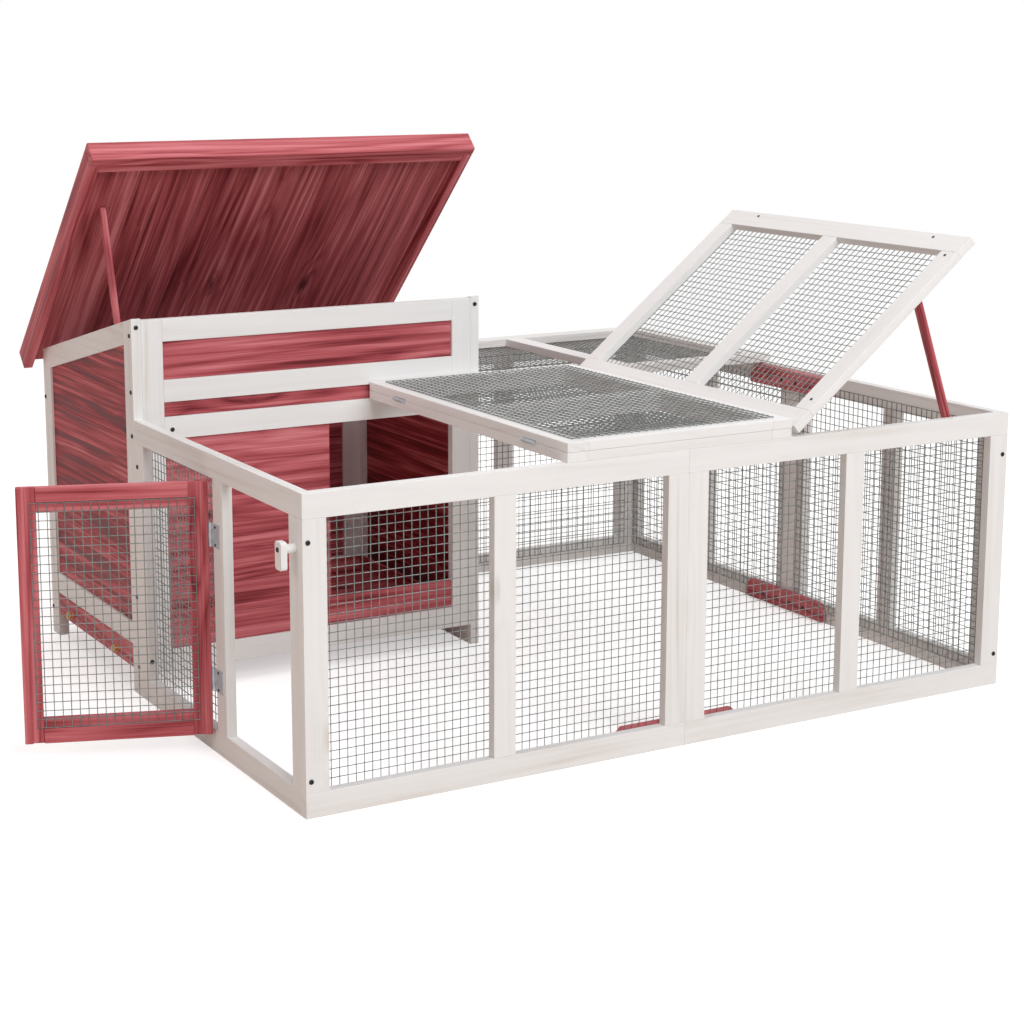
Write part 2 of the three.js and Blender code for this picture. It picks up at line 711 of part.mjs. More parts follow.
const roofMiddle = houseWidth / 2;
addHinge(hutch, 'roof_hinge_fixed', hingeHalf(roofHingeLength, roofHingeKnuckles, roofLeafReach, true),
  reversed(axisY), reversed(axisZ), roofMiddle, roofPinY, roofPinZ);
addHinge(roof, 'roof_hinge_moving', hingeHalf(roofHingeLength, roofHingeKnuckles, roofLeafReach, false),
  axisZ, axisY, roofMiddle, 0, 0);

// Prop stay of the roof. Its upper end turns under the boards and its foot stands
// against the inner face of the left side.
const roofStayDrop = roofUnder - seatGap - roofStaySize / 2;
const roofStayAngle = -THREE.MathUtils.degToRad(roofStayLean);
const roofStay = new THREE.Group();
roofStay.position.set(0, -roofStayReach, roofStayDrop);
roof.add(roofStay);
addPanel(roofStay, 'roof_stay', 'side', wallInner + seatGap, roofStaySize,
  barOutline(0, 0, roofStayLength * Math.cos(roofStayAngle), roofStayLength * Math.sin(roofStayAngle), roofStaySize),
  [], redWood);

// Origin at the middle of the footprint, on the ground
hutch.updateMatrixWorld(true);
const extent = new THREE.Box3().setFromObject(hutch, true);
hutch.position.set(-(extent.min.x + extent.max.x) / 2, -(extent.min.y + extent.max.y) / 2, -extent.min.z);
hutch.updateMatrixWorld(true);

export default hutch;
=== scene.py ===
import math
import random

import bmesh
import bpy
from mathutils import Matrix, Vector


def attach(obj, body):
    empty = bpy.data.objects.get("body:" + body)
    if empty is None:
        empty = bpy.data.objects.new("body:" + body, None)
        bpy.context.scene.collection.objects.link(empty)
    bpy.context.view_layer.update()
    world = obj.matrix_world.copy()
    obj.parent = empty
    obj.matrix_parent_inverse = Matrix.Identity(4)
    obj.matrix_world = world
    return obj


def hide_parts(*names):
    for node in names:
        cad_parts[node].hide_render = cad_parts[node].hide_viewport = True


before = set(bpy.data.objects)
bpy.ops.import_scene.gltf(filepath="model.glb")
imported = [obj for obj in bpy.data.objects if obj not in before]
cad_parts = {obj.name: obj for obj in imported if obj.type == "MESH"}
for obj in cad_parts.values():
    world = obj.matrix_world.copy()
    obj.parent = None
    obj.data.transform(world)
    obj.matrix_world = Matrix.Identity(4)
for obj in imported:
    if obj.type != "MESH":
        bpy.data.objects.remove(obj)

scene = bpy.context.scene
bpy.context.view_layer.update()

# Pieces are measured in millimetres from the hutch's front left corner on the ground,
# and hutchMatrix brings them into the frame's metres.
hutchCorner = (620.1314240644452, 699.2590161746232, 0)
hutchMatrix = Matrix.Scale(0.001, 4) @ Matrix.Translation([-v for v in hutchCorner])


def leafMatrix(pin, degrees, axis):
    return hutchMatrix @ Matrix.Translation(pin) @ Matrix.Rotation(math.radians(degrees), 4, axis)


# Each leaf as photographed: its pin, and its turn about it
roofMatrix = leafMatrix((0, 1351.3, 637.8455), -(13.0688 + 31), "X")
leftLidMatrix = leafMatrix((516.7, 0, 588.15), 180, "Y")
rightLidMatrix = leafMatrix((1023.3, 0, 588.15), -38.7, "Y")
doorMatrix = leafMatrix((-3.3, 394.3, 0), -109.6, "Z")


def fromPicture(red, green, blue):
    # A picture's red, green and blue, 0 to 255, as linear light
    linear = []
    for value in (red, green, blue):
        share = value / 255
        linear.append(share / 12.92 if share <= 0.04045 else ((share + 0.055) / 1.055) ** 2.4)
    return (*linear, 1.0)


# Materials
def newMaterial(name):
    material = bpy.data.materials.new(name)
    material.use_nodes = True
    nodes = material.node_tree.nodes
    nodes.clear()
    output = nodes.new("ShaderNodeOutputMaterial")
    principled = nodes.new("ShaderNodeBsdfPrincipled")
    material.node_tree.links.new(principled.outputs[0], output.inputs[0])
    return material, material.node_tree, principled


def newGroup(name, inputs, outputs):
    group = bpy.data.node_groups.new(name, "ShaderNodeTree")
    for label, kind, value in inputs:
        socket = group.interface.new_socket(label, in_out="INPUT", socket_type=kind)
        if value is not None:
            socket.default_value = value
    for label, kind in outputs:
        group.interface.new_socket(label, in_out="OUTPUT", socket_type=kind)
    return group, group.nodes.new("NodeGroupInput"), group.nodes.new("NodeGroupOutput")


def mathNode(tree, operation, *inputs, clamp=False):
    node = tree.nodes.new("ShaderNodeMath")
    node.operation = operation
    node.use_clamp = clamp
    for index, value in enumerate(inputs):
        if isinstance(value, (int, float)):
            node.inputs[index].default_value = value
        else:
            tree.links.new(value, node.inputs[index])
    return node.outputs[0]


def vectorNode(tree, operation, *inputs):
    node = tree.nodes.new("ShaderNodeVectorMath")
    node.operation = operation
    for index, value in enumerate(inputs):
        if isinstance(value, tuple):
            node.inputs[index].default_value = value
        else:
            tree.links.new(value, node.inputs[index])
    return node.outputs["Value" if operation == "LENGTH" else "Vector"]


def noiseNode(tree, vector, scale, detail=3.0, roughness=0.5):
    node = tree.nodes.new("ShaderNodeTexNoise")
    tree.links.new(vector, node.inputs["Vector"])
    node.inputs["Scale"].default_value = scale
    node.inputs["Detail"].default_value = detail
    node.inputs["Roughness"].default_value = roughness
    return node.outputs["Fac"]


def rampNode(tree, value, low, high, start=0.0, end=1.0):
    node = tree.nodes.new("ShaderNodeMapRange")
    node.clamp = True
    tree.links.new(value, node.inputs["Value"])
    for name, number in (("From Min", low), ("From Max", high), ("To Min", start), ("To Max", end)):
        node.inputs[name].default_value = number
    return node.outputs[0]


def mixColour(tree, factor, first, second):
    node = tree.nodes.new("ShaderNodeMix")
    node.data_type = "RGBA"
    sockets = {"factor": node.inputs[0], "first": node.inputs[6], "second": node.inputs[7]}
    for name, value in (("factor", factor), ("first", first), ("second", second)):
        if isinstance(value, (int, float, tuple)):
            sockets[name].default_value = value
        else:
            tree.links.new(value, sockets[name])
    return node.outputs[2]


woodGrain = {
    # How often each pattern comes in a metre: along the board, then across it both ways
    "knotSpace": (3.4, 10.0, 10.0), "wanderSpace": (2.2, 12.0, 12.0), "ringSpace": (0.6, 11.0, 11.0),
    "streakSpace": (2.0, 105.0, 105.0), "hairSpace": (6.0, 420.0, 420.0), "patchSpace": (2.4, 10.0, 10.0),
    # Knots: how rare they are, how uneven, and where the dark core and the bent grain round it end
    "knotRarity": 0.55, "knotWobble": 0.08, "knotCore": (0.6, 1.25), "knotHalo": (0.4, 4.2), "ringBend": 0.22,
    "ringSharpness": 1.6, "streakShare": 0.7, "reliefHeight": 0.0006, "ringMiddle": 0.32,
    "roughSpread": 0.08,
}


def makeWoodFigure():
    # Vector runs along the board in X and across it in Y and Z, in metres.
    inputs = [("Vector", "NodeSocketVector", None), ("Ring Count", "NodeSocketFloat", 9.0),
              ("Knot Size", "NodeSocketFloat", 0.2), ("Wander", "NodeSocketFloat", 0.02)]
    outputs = [(label, "NodeSocketFloat") for label in ("Rings", "Fibre", "Knot", "Relief")]
    group, inside, outside = newGroup("woodFigure", inputs, outputs)
    vector = inside.outputs["Vector"]

    # Knots: scattered points, drawn out a little along the board
    knotSpace = vectorNode(group, "MULTIPLY", vector, woodGrain["knotSpace"])
    cells = group.nodes.new("ShaderNodeTexVoronoi")
    cells.inputs["Scale"].default_value = 1.0
    cells.inputs["Randomness"].default_value = 1.0
    group.links.new(knotSpace, cells.inputs["Vector"])
    separate = group.nodes.new("ShaderNodeSeparateColor")
    group.links.new(cells.outputs["Color"], separate.inputs[0])
    chosen = mathNode(group, "GREATER_THAN", separate.outputs[0], woodGrain["knotRarity"])
    wobble = mathNode(group, "MULTIPLY", noiseNode(group, knotSpace, 9.0, 2.0), woodGrain["knotWobble"])
    away = mathNode(group, "ADD", cells.outputs["Distance"], wobble)
    near = mathNode(group, "DIVIDE", away, inside.outputs["Knot Size"])
    core = mathNode(group, "MULTIPLY", rampNode(group, near, *woodGrain["knotCore"], 1.0, 0.0), chosen)
    halo = mathNode(group, "MULTIPLY", rampNode(group, near, *woodGrain["knotHalo"], 1.0, 0.0), chosen)

    # The grain wanders a little across the board
    wanderSpace = vectorNode(group, "MULTIPLY", vector, woodGrain["wanderSpace"])
    wander = mathNode(group, "SUBTRACT", noiseNode(group, wanderSpace, 1.0, 1.0), 0.5)
    drift = mathNode(group, "MULTIPLY", wander, inside.outputs["Wander"])
    push = group.nodes.new("ShaderNodeCombineXYZ")
    group.links.new(drift, push.inputs["Y"])
    group.links.new(drift, push.inputs["Z"])
    vector = vectorNode(group, "ADD", vector, push.outputs["Vector"])

    # Rings: contour lines of a long soft field, bent round each knot
    field = noiseNode(group, vectorNode(group, "MULTIPLY", vector, woodGrain["ringSpace"]), 1.0, 1.0, 0.4)
    bend = mathNode(group, "MULTIPLY", mathNode(group, "POWER", halo, 2.0), woodGrain["ringBend"])
    lines = mathNode(group, "MULTIPLY", mathNode(group, "ADD", field, bend), inside.outputs["Ring Count"])
    rings = mathNode(group, "MULTIPLY", mathNode(group, "PINGPONG", lines, 0.5), 2.0)
    ringTone = mathNode(group, "POWER", rings, woodGrain["ringSharpness"])

    # Fibre: fine streaks along the board, and finer hairs between them
    streak = noiseNode(group, vectorNode(group, "MULTIPLY", vector, woodGrain["streakSpace"]), 1.0, 3.0, 0.6)
    hair = noiseNode(group, vectorNode(group, "MULTIPLY", vector, woodGrain["hairSpace"]), 1.0, 2.0, 0.6)
    share = woodGrain["streakShare"]
    fibre = mathNode(group, "ADD", mathNode(group, "MULTIPLY", streak, share),
                     mathNode(group, "MULTIPLY", hair, 1 - share))

    relief = mathNode(group, "ADD", mathNode(group, "MULTIPLY", ringTone, 0.5), fibre)
    relief = mathNode(group, "SUBTRACT", relief, mathNode(group, "MULTIPLY", core, 0.6))
    for name, value in (("Rings", ringTone), ("Fibre", fibre), ("Knot", core), ("Relief", relief)):
        group.links.new(value, outside.inputs[name])
    return group


woodFigure = makeWoodFigure()


def addBump(tree, principled, height, strength, distance):
    bump = tree.nodes.new("ShaderNodeBump")
    bump.inputs["Strength"].default_value = strength
    bump.inputs["Distance"].default_value = distance
    tree.links.new(height, bump.inputs["Height"])
    tree.links.new(bump.outputs["Normal"], principled.inputs["Normal"])


def attributeNode(tree, name):
    node = tree.nodes.new("ShaderNodeAttribute")
    node.attribute_name = name
    return node


def colourBand(tree, value, stops):
    node = tree.nodes.new("ShaderNodeValToRGB")
    band = node.color_ramp
    while len(band.elements) < len(stops):
        band.elements.new(0.5)
    for element, (place, colour) in zip(band.elements, stops):
        element.position = place
        element.color = colour
    tree.links.new(value, node.inputs["Fac"])
    return node.outputs["Color"]


def weighed(tree, value, middle, gain):
    return mathNode(tree, "MULTIPLY", mathNode(tree, "SUBTRACT", value, middle), gain)


def makeWood(name, look):
    material, tree, principled = newMaterial(name)
    grain = attributeNode(tree, "grain").outputs["Vector"]
    figure = tree.nodes.new("ShaderNodeGroup")
    figure.node_tree = woodFigure
    for label, key in (("Ring Count", "ringCount"), ("Knot Size", "knotSize"), ("Wander", "wander")):
        figure.inputs[label].default_value = look[key]
    tree.links.new(grain, figure.inputs["Vector"])
    tone = attributeNode(tree, "tone").outputs["Fac"]
    rim = attributeNode(tree, "rim").outputs["Fac"]
    patches = noiseNode(tree, vectorNode(tree, "MULTIPLY", grain, woodGrain["patchSpace"]), 1.0, 3.0)

    # Darkness picks the stain's colour: rings, fibre, broad patches and each timber's own tone add up
    rings = weighed(tree, figure.outputs["Rings"], woodGrain["ringMiddle"], look["ringGain"])
    darkness = mathNode(tree, "ADD", rings, look["depth"])
    for value, middle, gain in ((figure.outputs["Fibre"], 0.5, look["fibreGain"]),
                                (patches, 0.5, look["patchGain"]), (tone, 0.0, look["toneGain"])):
        darkness = mathNode(tree, "ADD", darkness, weighed(tree, value, middle, gain))
    stops = ((0.0, "pale"), (0.3, "light"), (0.55, "base"), (0.82, "dark"), (1.0, "deep"))
    colour = colourBand(tree, darkness, [(place, fromPicture(*look[stain])) for place, stain in stops])
    knotMask = mathNode(tree, "MULTIPLY", figure.outputs["Knot"], look["knotStrength"])
    colour = mixColour(tree, knotMask, colour, fromPicture(*look["knot"]))
    # Bevelled faces, marked rim, take a lighter colour: a painted highlight along every edge
    paintedRimHighlight = mathNode(tree, "MULTIPLY", rim, look["rimHighlightStrength"])
    colour = mixColour(tree, paintedRimHighlight, colour, fromPicture(*look["rim"]))
    tree.links.new(colour, principled.inputs["Base Color"])
    middle, spread = look["roughness"], woodGrain["roughSpread"]
    rough = rampNode(tree, figure.outputs["Relief"], 0.2, 1.1, middle + spread, middle - spread)
    tree.links.new(rough, principled.inputs["Roughness"])
    principled.inputs["Specular IOR Level"].default_value = look["specular"]
    addBump(tree, principled, figure.outputs["Relief"], look["bump"], woodGrain["reliefHeight"])
    return material


# Stains are a picture's red, green and blue, and the gains say how much each pattern darkens them
# rim is the lighter colour painted on bevelled edges as a highlight
whiteLook = {
    "pale": (243, 241, 240), "light": (241, 239, 238), "base": (238, 236, 235), "dark": (231, 226, 222),
    "deep": (217, 208, 201), "knot": (206, 198, 190), "rim": (242, 240, 239), "depth": 0.4,
    "ringCount": 8.0, "knotSize": 0.13, "wander": 0.006, "ringGain": 0.3, "fibreGain": 1.0, "patchGain": 1.1,
    "toneGain": 0.12, "knotStrength": 0.6, "rimHighlightStrength": 0.3, "roughness": 0.66, "specular": 0.22,
    "bump": 0.2,
}
redLook = {
    "pale": (218, 132, 137), "light": (198, 104, 110), "base": (174, 79, 85), "dark": (132, 48, 54),
    "deep": (96, 28, 34), "knot": (62, 16, 20), "rim": (184, 90, 96), "depth": 0.4,
    "ringCount": 10.0, "knotSize": 0.16, "wander": 0.01, "ringGain": 0.36, "fibreGain": 2.1, "patchGain": 0.6,
    "toneGain": 0.07, "knotStrength": 0.9, "rimHighlightStrength": 0.3, "roughness": 0.6, "specular": 0.22,
    "bump": 0.35,
}
# The roof boards are a darker copy of the red, painted shade for the underside that faces away from the
# lamps; their strong light rims are a painted highlight along the board joints
roofShadedLook = dict(
    redLook, light=(184, 94, 99), base=(158, 70, 76), dark=(120, 44, 50), rim=(206, 122, 127),
    rimHighlightStrength=0.5, fibreGain=2.2, ringGain=0.3, toneGain=0.12, wander=0.004, knotSize=0.15)
trimLook = dict(redLook, depth=0.36, ringGain=0.4, knotStrength=0.85, fibreGain=2.0, knotSize=0.15)
sideLook = dict(
    redLook, light=(190, 92, 97), base=(154, 58, 62), dark=(112, 33, 38), depth=0.58, fibreGain=2.5)
knobLook = dict(
    redLook, pale=(236, 196, 112), light=(226, 178, 88), base=(214, 160, 66), dark=(194, 138, 50),
    deep=(176, 120, 42), knot=(176, 120, 42), rim=(225, 186, 116), fibreGain=0.6, ringGain=0.2,
    patchGain=0.2, knotStrength=0.0, roughness=0.34, specular=0.5)

whiteWood = makeWood("whiteWashedPine", whiteLook)
redWood = makeWood("redStainedPine", redLook)
roofShadedWood = makeWood("roofBoardShadedRed", roofShadedLook)
trimWood = makeWood("redTrimPine", trimLook)
sideWood = makeWood("redSidePine", sideLook)
knobWood = makeWood("varnishedKnob", knobLook)


def makeSteel(name, look):
    material, tree, principled = newMaterial(name)
    place = tree.nodes.new("ShaderNodeTexCoord").outputs["Object"]
    cloud = noiseNode(tree, place, look["cloudScale"], 4.0, 0.6)
    speck = noiseNode(tree, place, look["speckScale"], 3.0, 0.65)
    cloudShare = mathNode(tree, "MULTIPLY", cloud, 0.6)
    mixed = mathNode(tree, "ADD", cloudShare, mathNode(tree, "MULTIPLY", speck, 0.4))
    dark, light = fromPicture(*look["dark"]), fromPicture(*look["light"])
    colour = mixColour(tree, rampNode(tree, mixed, 0.35, 0.65), dark, light)
    tree.links.new(colour, principled.inputs["Base Color"])
    rough = rampNode(tree, mixed, 0.3, 0.7, look["roughness"] + 0.1, look["roughness"] - 0.1)
    tree.links.new(rough, principled.inputs["Roughness"])
    principled.inputs["Metallic"].default_value = look["metallic"]
    addBump(tree, principled, speck, 0.25, 0.0002)
    return material


netSteel = makeSteel("galvanisedWire", {
    "dark": (98, 101, 100), "light": (146, 148, 146), "cloudScale": 60.0, "speckScale": 400.0,
    "roughness": 0.5, "metallic": 0.35})
hingeSteel = makeSteel("zincPlate", {
    "dark": (172, 181, 188), "light": (206, 212, 217), "cloudScale": 90.0, "speckScale": 900.0,
    "roughness": 0.46, "metallic": 0.3})
boltSteel = makeSteel("blackScrew", {
    "dark": (26, 26, 28), "light": (54, 54, 56), "cloudScale": 300.0, "speckScale": 1500.0,
    "roughness": 0.42, "metallic": 0.6})
print("materials made:", len(bpy.data.materials))


# Shared shapes
random.seed(41)
grainReach = (9, 4, 4)    # how far apart two timbers' grain may lie in the figure, in metres


def finishPiece(name, mesh, material, body, replaced=(), weighted=True):
    piece = bpy.data.objects.new(name, mesh)
    scene.collection.objects.link(piece)
    mesh.materials.append(material)
    if weighted:
        modifier = piece.modifiers.new("flatFaces", "WEIGHTED_NORMAL")
        modifier.keep_sharp = True
    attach(piece, body)
    if replaced:
        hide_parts(*replaced)
    return piece


def onPlane(plane, u, v, t):
    if plane == "front":
        return Vector((u, t, v))
    if plane == "side":
        return Vector((t, u, v))
    return Vector((u, v, t))


def rectangle(u0, v0, u1, v1):
    return [(u0, v0), (u1, v0), (u1, v1), (u0, v1)]


def timber(plane, start, thickness, outline, run="u", edge=1.0):
    # The grain runs along the outline's u or v, along the thickness t, or at a lean in degrees.
    return {"plane": plane, "start": start, "thickness": thickness, "outline": outline, "run": run,
            "edge": edge}


def grainPoint(run, u, v, t):
    if run == "t":
        return t, u, v
    lean = math.radians({"u": 0, "v": 90}.get(run, run))
    return u * math.cos(lean) + v * math.sin(lean), v * math.cos(lean) - u * math.sin(lean), t


def smoothMesh(name, points, faces, sharp=None, layers=()):
    # Layers are the values that the materials read, on each point or face.
    mesh = bpy.data.meshes.new(name)
    mesh.from_pydata(points, [], faces)
    for label, kind, domain, field, values in layers:
        mesh.attributes.new(label, kind, domain).data.foreach_set(field, values)
    mesh.polygons.foreach_set("use_smooth", [True] * len(faces))
    if sharp is not None:
        mesh.set_sharp_from_angle(angle=math.radians(sharp))
    mesh.update()
    return mesh


def timberMesh(name, timbers, matrix):
    points, faces, grain, tone, rim = [], [], [], [], []
    for part in timbers:
        work = bmesh.new()
        rings = []
        for t in (part["start"], part["start"] + part["thickness"]):
            rings.append([work.verts.new((u, v, t)) for u, v in part["outline"]])
        count = len(part["outline"])
        work.faces.new(rings[0])
        work.faces.new(rings[1])
        for i in range(count):
            j = (i + 1) % count
            work.faces.new((rings[0][i], rings[0][j], rings[1][j], rings[1][i]))
        bmesh.ops.recalc_face_normals(work, faces=work.faces)
        made = bmesh.ops.bevel(work, geom=list(work.edges), offset=part["edge"], offset_type="OFFSET",
                               segments=2, profile=0.5, affect="EDGES", clamp_overlap=True)
        # These bevel faces are marked rim, and the wood materials paint a highlight on them
        edges = set(made["faces"])
        work.verts.index_update()
        base = len(points)
        shift = [random.uniform(-reach, reach) for reach in grainReach]
        boardTone = random.uniform(-1, 1)
        for vert in work.verts:
            u, v, t = vert.co
            figurePoint = grainPoint(part["run"], u, v, t)
            grain += [value / 1000 + move for value, move in zip(figurePoint, shift)]
            tone.append(boardTone)
            points.append(matrix @ onPlane(part["plane"], u, v, t))
        flip = part["plane"] == "front"
        for face in work.faces:
            loop = [base + vert.index for vert in face.verts]
            faces.append(loop[::-1] if flip else loop)
            rim.append(1.0 if face in edges else 0.0)
        work.free()
    return smoothMesh(name, points, faces, None, (
        ("grain", "FLOAT_VECTOR", "POINT", "vector", grain), ("tone", "FLOAT", "POINT", "value", tone),
        ("rim", "FLOAT", "FACE", "value", rim)))


def addTimbers(name, timbers, material, body="hutch", replaced=(), matrix=hutchMatrix):
    return finishPiece(name, timberMesh(name, timbers, matrix), material, body, replaced)


def frameTimbers(plane, start, thickness, posts, low, high, rail):
    # Rails run the whole length and cap the posts.
    first, last = posts[0][0], posts[-1][1]
    timbers = [timber(plane, start, thickness, rectangle(first, low, last, low + rail)),
               timber(plane, start, thickness, rectangle(first, high - rail, last, high))]
    for left, right in posts:
        timbers.append(timber(plane, start, thickness, rectangle(left, low + rail, right, high - rail), "v"))
    return timbers


def clipBetween(outline, low, high):
    # The part of an outline between two heights.
    for limit, sign in ((low, 1), (high, -1)):
        kept = []
        for i, (u0, v0) in enumerate(outline):
            u1, v1 = outline[(i + 1) % len(outline)]
            inside0, inside1 = sign * (v0 - limit) >= 0, sign * (v1 - limit) >= 0
            if inside0:
                kept.append((u0, v0))
            if inside0 != inside1:
                share = (limit - v0) / (v1 - v0)
                kept.append((u0 + (u1 - u0) * share, limit))
        outline = kept
    return outline


def boardsUp(plane, start, thickness, outline, width, edge=1.6, groove=0.1):
    # Level boards stacked up to fill an outline, with a shallow groove at each joint.
    low, high = min(v for _, v in outline), max(v for _, v in outline)
    count = max(1, round((high - low) / width))
    step = (high - low) / count
    timbers = []
    for i in range(count):
        part = clipBetween(outline, low + i * step + groove, low + (i + 1) * step - groove)
        if len(part) > 2:
            timbers.append(timber(plane, start, thickness, part, "u", edge))
    return timbers


def wireMesh(name, plane, start, outline, towards, matrix, radius=0.86, pitch=16.0, sides=6,
             crossing=1.2):
    # Welded mesh: upright wires, and level wires that lie so many radii further and so sink into them.
    points, faces = [], []

    def wire(first, last):
        base = len(points)
        axis = (last - first).normalized()
        depth = onPlane(plane, 0, 0, 1)
        across = axis.cross(depth)
        for end in (first, last):
            for k in range(sides):
                angle = 2 * math.pi * k / sides
                offset = across * (radius * math.cos(angle)) + depth * (radius * math.sin(angle))
                points.append(matrix @ (end + offset))
        for k in range(sides):
            m = (k + 1) % sides
            faces.append((base + k, base + m, base + sides + m, base + sides + k))
        faces.append(tuple(base + k for k in reversed(range(sides))))
        faces.append(tuple(base + sides + k for k in range(sides)))

    u0, v0, u1, v1 = outline
    near = start + radius * towards
    far = near + radius * crossing * towards
    columns, rows = round((u1 - u0) / pitch), round((v1 - v0) / pitch)
    for i in range(columns + 1):
        u = u0 + radius + (u1 - u0 - 2 * radius) * i / columns
        wire(onPlane(plane, u, v0, near), onPlane(plane, u, v1, near))
    for j in range(rows + 1):
        v = v0 + radius + (v1 - v0 - 2 * radius) * j / rows
        wire(onPlane(plane, u0, v, far), onPlane(plane, u1, v, far))
    return smoothMesh(name, points, faces, 75)


def addNet(name, plane, start, outline, towards=1, body="hutch", matrix=hutchMatrix):
    mesh = wireMesh(name, plane, start, outline, towards, matrix)
    return finishPiece(name + "_wires", mesh, netSteel, body, (name,), weighted=False)


def headMesh(name, spots, matrix, radius=4.5, height=2.0, sides=18):
    # Screw heads: a low dome with a six-sided socket. A spot is a place and the way out of the wood.
    points, faces = [], []
    # The rings' numbers are shares of the head's radius and height.
    dome = [(1.0, -0.3), (1.0, 0.35), (0.9, 0.75), (0.7, 0.97), (0.52, 1.0)]
    socketWalls, socketFlat = [(0.46, 0.95), (0.44, 0.1)], 0.87
    for place, way in spots:
        base = len(points)
        turn = Vector((0, 0, 1)).rotation_difference(Vector(way)).to_matrix()
        rings = [(share * radius, rise * height, False) for share, rise in dome]
        rings += [(share * radius, rise * height, True) for share, rise in socketWalls]
        for ringRadius, rise, socket in rings:
            for k in range(sides):
                angle = 2 * math.pi * k / sides
                reach = ringRadius
                if socket:
                    folded = (angle + math.pi / 6) % (math.pi / 3) - math.pi / 6
                    reach = ringRadius * socketFlat / math.cos(folded)
                local = Vector((reach * math.cos(angle), reach * math.sin(angle), rise))
                points.append(matrix @ (Vector(place) + turn @ local))
        for ring in range(len(rings) - 1):
            for k in range(sides):
                m = (k + 1) % sides
                low, high = base + ring * sides, base + (ring + 1) * sides
                faces.append((low + k, low + m, high + m, high + k))
        top = base + (len(rings) - 1) * sides
        faces.append(tuple(top + k for k in range(sides)))
        faces.append(tuple(base + k for k in reversed(range(sides))))
    return smoothMesh(name, points, faces, 40)


def addHeads(name, spots, body="hutch", matrix=hutchMatrix, radius=4.5, height=2.0):
    mesh = headMesh(name, spots, matrix, radius, height)
    return finishPiece(name, mesh, boltSteel, body, weighted=False)


# Run: batten frames, each with its net on the inside
batten = {"width": 45, "thick": 20, "overlap": 20}
runPanel = {"width": 1570, "height": 570, "depth": 1348, "corner": 35, "doorPost": 344, "houseFront": 788,
            "houseWidth": 785, "roofThick": 18}
halfWidth, halfDepth = runPanel["width"] / 2, runPanel["depth"] / 2
rightInner = runPanel["width"] - batten["thick"]
backInner = runPanel["depth"] - batten["thick"]
runHeight = runPanel["height"]


def spread(first, last, middle):
    # A post at each end and one between them.
    wide = batten["width"]
    return [(first, first + wide), (middle - wide / 2, middle + wide / 2), (last - wide, last)]


def netOutline(first, last, low, high):
    inset = batten["width"] - batten["overlap"]
    return first + inset, low + inset, last - inset, high - inset


for name, plane, start, first, last, middle in (
        ("run_front_left", "front", 0, 0, halfWidth, halfWidth / 2),
        ("run_front_right", "front", 0, halfWidth, runPanel["width"], halfWidth * 1.5),
        ("run_side_front", "side", rightInner, batten["thick"], halfDepth, halfDepth / 2),
        ("run_side_rear", "side", rightInner, halfDepth, runPanel["depth"], halfDepth * 1.5),
        ("run_back", "front", backInner, runPanel["houseWidth"], rightInner,
         (runPanel["houseWidth"] + rightInner) / 2)):
    posts = spread(first, last, middle)
    timbers = frameTimbers(plane, start, batten["thick"], posts, 0, runHeight, batten["width"])
    addTimbers(name + "_battens", timbers, whiteWood, replaced=(name + "_frame",))
    inner = start + batten["thick"] if start == 0 else start
    addNet(name + "_net", plane, inner, netOutline(first, last, 0, runHeight), 1 if start == 0 else -1)

doorPost, houseFront, wide = runPanel["doorPost"], runPanel["houseFront"], batten["width"]
leftPosts = [(batten["thick"], batten["thick"] + runPanel["corner"]), (doorPost, doorPost + wide),
             (houseFront - wide, houseFront)]
leftTimbers = frameTimbers("side", 0, batten["thick"], leftPosts, 0, runHeight, wide)
addTimbers("run_left_battens", leftTimbers, whiteWood, replaced=("run_left_frame",))
addNet("run_left_net", "side", batten["thick"], netOutline(doorPost, houseFront, 0, runHeight))

roofLeft, roofRight, roofBack = runPanel["houseWidth"], runPanel["width"], runPanel["depth"]
crossFrom, crossTo = houseFront + wide, roofBack - wide
overRun = [timber("top", runHeight, runPanel["roofThick"], rectangle(roofLeft, y, roofRight, y + wide))
           for y in (houseFront, crossTo)]
overRun += [timber("top", runHeight, runPanel["roofThick"], rectangle(x, crossFrom, x + wide, crossTo), "v")
            for x in (roofLeft, (roofLeft + roofRight - wide) / 2, roofRight - wide)]
addTimbers("run_roof_battens", overRun, whiteWood, replaced=("run_roof_frame",))
roofNet = netOutline(roofLeft, roofRight, houseFront, roofBack)
addNet("run_roof_net", "top", runHeight, roofNet, -1)
print("run built")

# Red joining plates over the seams between panels, clear of the nets
plate = {"length": 290, "height": 45, "thick": 12, "chamfer": 20, "clear": 2, "rise": 4, "boltRise": 20,
         "bolts": (-75, -25, 25, 75)}


def plateOutline(centre, low):
    half, high, cut = plate["length"] / 2, low + plate["height"], plate["chamfer"]
    return [(centre - half, low), (centre + half, low), (centre + half, high - cut),
            (centre + half - cut, high), (centre - half + cut, high), (centre - half, high - cut)]


plateAcross = batten["thick"] + plate["clear"]
plateBeside = rightInner - plate["clear"] - plate["thick"]
plateHigh = runHeight - plate["rise"] - plate["height"]
for name, plane, start, centre, low in (
        ("front_seam_plate", "front", plateAcross, halfWidth, plate["rise"]),
        ("side_seam_plate_low", "side", plateBeside, halfDepth, plate["rise"]),
        ("side_seam_plate_high", "side", plateBeside, halfDepth, plateHigh)):
    board = timber(plane, start, plate["thick"], plateOutline(centre, low), edge=2)
    addTimbers(name + "_board", [board], trimWood, replaced=(name,))
    face = start + plate["thick"] if plane == "front" else start
    way = (0, 1, 0) if plane == "front" else (-1, 0, 0)
    spots = [(onPlane(plane, centre + step, low + plate["boltRise"], face), way) for step in plate["bolts"]]
    addHeads(name + "_screws", spots, radius=4.2)
print("joining plates built")

